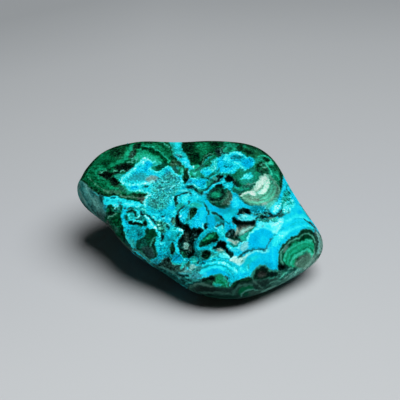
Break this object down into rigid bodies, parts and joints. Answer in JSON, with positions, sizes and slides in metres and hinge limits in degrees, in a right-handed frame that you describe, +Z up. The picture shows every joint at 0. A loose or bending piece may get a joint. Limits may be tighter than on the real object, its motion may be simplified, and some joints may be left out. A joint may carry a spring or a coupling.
{
  "type": "polished chrysocolla specimen",
  "caption": "Hand-sized free-form slab of polished chrysocolla with banded malachite, with natural vugs and a shell-shaped chip, resting on a small flat underside.",
  "frame": {"origin": "bottom centre of the bounding box: the stone's resting flat lies at z = 0", "axes": "+Z up through the polished face, +X to the right and +Y to the back, with the stone's long side running from back left to front right"},
  "size_m": [0.082, 0.0594, 0.0281],
  "materials": {
    "stone": "polished to a soft gloss; turquoise chrysocolla with dark and pale green malachite bands, and rough dark vugs"
  },
  "bodies": {
    "root": {"stone": "stone"}
  },
  "joints": []
}
